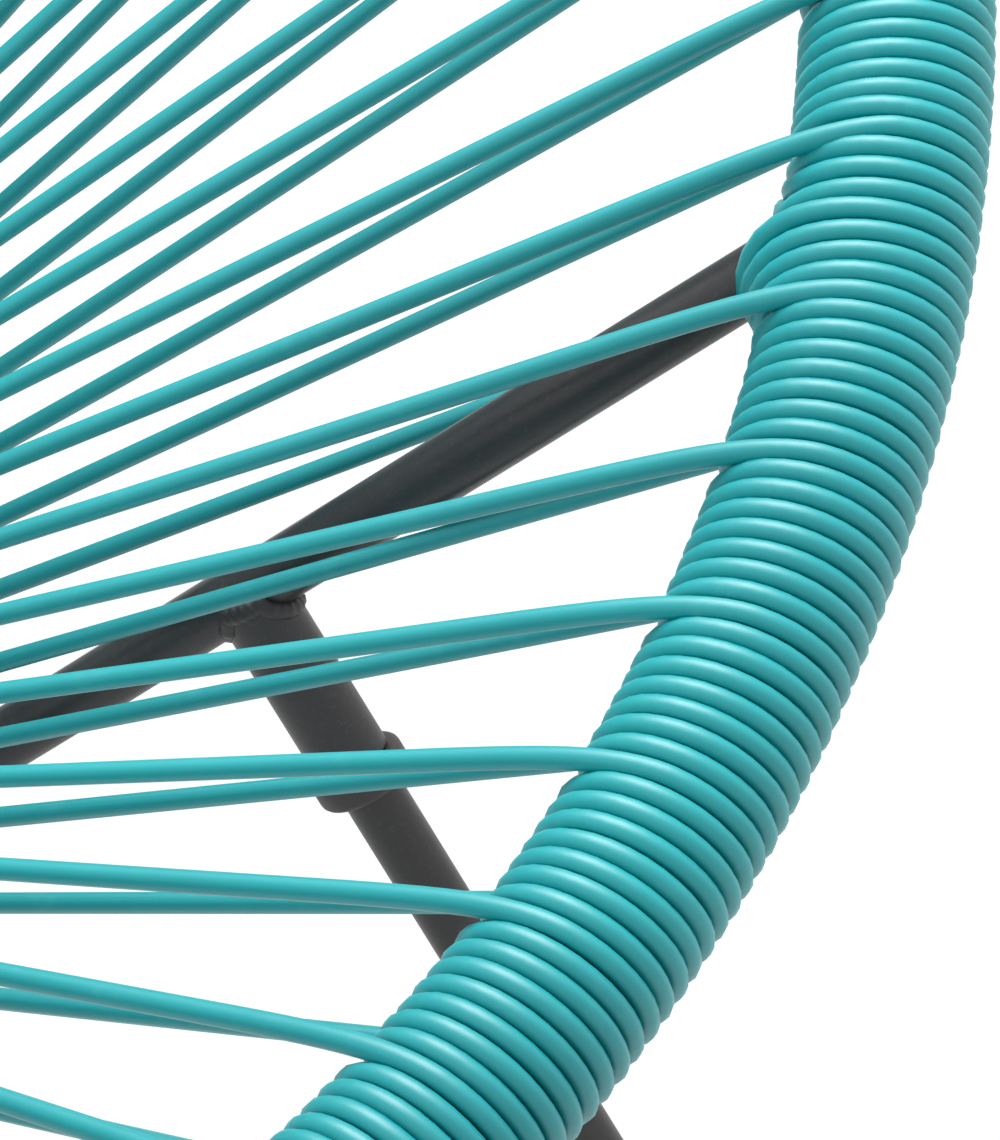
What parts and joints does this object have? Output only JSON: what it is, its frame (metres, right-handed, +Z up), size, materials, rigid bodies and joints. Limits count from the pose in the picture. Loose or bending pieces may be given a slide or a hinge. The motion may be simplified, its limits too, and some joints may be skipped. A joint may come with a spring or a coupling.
{
  "type": "acapulco chair",
  "caption": "Egg-shaped lounge chair: a steel hoop wound with teal cord, taut paired strings to a centre ring, and a knock-down three-legged tube base.",
  "frame": {"origin": "on the floor, under the middle of the chair's outline", "axes": "+Z up, -Y the way the chair faces, +X to the sitter's left, which is the right of the chair seen from in front"},
  "size_m": [0.833, 0.805, 0.8706],
  "materials": {
    "powder_coated_steel": "satin charcoal powder coat, slightly rough",
    "pvc_cord": "satin teal PVC cord",
    "screw_steel": "zinc-plated",
    "rubber_cap": "matte black"
  },
  "bodies": {
    "root": {"hoop_tube": "powder_coated_steel", "centre_ring": "powder_coated_steel", "front_support_right": "powder_coated_steel", "front_support_left": "powder_coated_steel", "rear_support_right": "powder_coated_steel", "rear_support_left": "powder_coated_steel", "spine_tube": "powder_coated_steel", "front_right_leg_socket": "powder_coated_steel", "front_right_leg": "powder_coated_steel", "front_right_stop_collar": "powder_coated_steel", "front_left_leg_socket": "powder_coated_steel", "front_left_leg": "powder_coated_steel", "front_left_stop_collar": "powder_coated_steel", "rear_leg_socket": "powder_coated_steel", "rear_leg": "powder_coated_steel", "rear_stop_collar": "powder_coated_steel", "seat_cord_front_right": "pvc_cord", "seat_cord_wound_turns": "pvc_cord", "seat_cord_right_side": "pvc_cord", "back_cord_right_lower": "pvc_cord", "back_cord_right_upper": "pvc_cord", "back_cord_top": "pvc_cord", "back_cord_left_upper": "pvc_cord", "back_cord_left_lower": "pvc_cord", "seat_cord_left_side": "pvc_cord", "seat_cord_front_left": "pvc_cord", "front_right_lock_screw": "screw_steel", "front_left_lock_screw": "screw_steel", "rear_lock_screw": "screw_steel", "front_right_foot_cap": "rubber_cap", "front_left_foot_cap": "rubber_cap", "rear_foot_cap": "rubber_cap"}
  },
  "joints": []
}
